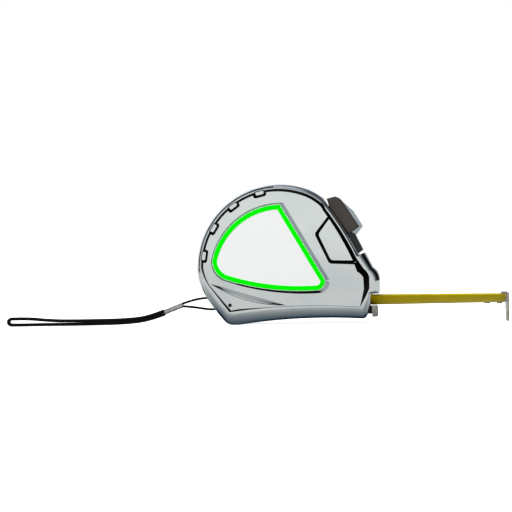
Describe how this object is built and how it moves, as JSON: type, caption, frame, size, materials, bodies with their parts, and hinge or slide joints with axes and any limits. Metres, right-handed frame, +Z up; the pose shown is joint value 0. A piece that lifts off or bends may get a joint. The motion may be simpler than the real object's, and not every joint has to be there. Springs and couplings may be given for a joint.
{
  "type": "tape measure",
  "caption": "Pocket tape measure with a chrome-plated case, thumb lock, cambered blade with an end hook, sprung reel, belt clip and wrist strap.",
  "frame": {"origin": "middle of the flat land under the case's heel, on the plane that the heel and the hook's tip stand on", "axes": "+X the way the blade comes out, +Z up from the table, -Y the label side"},
  "size_m": [0.2135, 0.0411, 0.0587],
  "materials": {
    "chrome_plate": "mirror-bright chrome plating on moulded ABS",
    "lock_plastic": "dark satin moulded plastic",
    "hook_steel": "nickel-plated steel",
    "zinc_steel": "zinc-plated steel",
    "spring_steel": "bare steel",
    "clip_steel": "satin nickel-plated spring steel",
    "ferrule_steel": "crimped nickel-plated steel",
    "tape_paint": "yellow lacquer under a clear nylon coat",
    "reel_nylon": "natural moulded nylon",
    "bumper_rubber": "soft black rubber",
    "label_paper": "matt white printed label",
    "border_print": "bright green printed border",
    "strap_nylon": "black woven nylon"
  },
  "bodies": {
    "case": {"right_shell": "chrome_plate", "left_shell": "chrome_plate", "case_screws": "zinc_steel", "hub_post": "spring_steel", "tape_feed": "tape_paint", "track_liner": "lock_plastic", "mouth_lip": "hook_steel", "hook_bumper": "bumper_rubber", "label": "label_paper", "label_border": "border_print", "strap_pin": "spring_steel", "strap_cord": "strap_nylon", "strap_ferrule": "ferrule_steel", "wrist_strap": "strap_nylon", "belt_clip": "clip_steel", "clip_screw": "zinc_steel"},
    "reel": {"reel_drum": "reel_nylon", "reel_cover": "reel_nylon", "power_spring": "spring_steel", "tape_coil": "tape_paint"},
    "blade": {"tape_blade": "tape_paint", "hook_rivets": "zinc_steel"},
    "hook": {"end_hook": "hook_steel"},
    "lock": {"lock_button": "lock_plastic", "button_cap": "chrome_plate", "lock_slider": "lock_plastic", "brake_pad": "bumper_rubber"}
  },
  "joints": [
    {"name": "blade_slide", "type": "slide", "parent": "case", "child": "blade", "axis": [1, 0, 0], "range_m": [-0.053, 0.0035]},
    {"name": "reel_spin", "type": "hinge", "parent": "case", "child": "reel", "pos_m": [0.017, 0, 0.0342], "axis": [0, 1, 0], "range_deg": [-12, 148]},
    {"name": "hook_play", "type": "slide", "parent": "blade", "child": "hook", "axis": [1, 0, 0], "range_m": [-0.0005, 0.0005]},
    {"name": "lock_slide", "type": "slide", "parent": "case", "child": "lock", "axis": [0.5878, 0, -0.809], "range_m": [0, 0.007]}
  ],
  "couplings": [
    {"joint": "reel_spin", "follows": "blade_slide", "rad_per_m": -47.619}
  ]
}
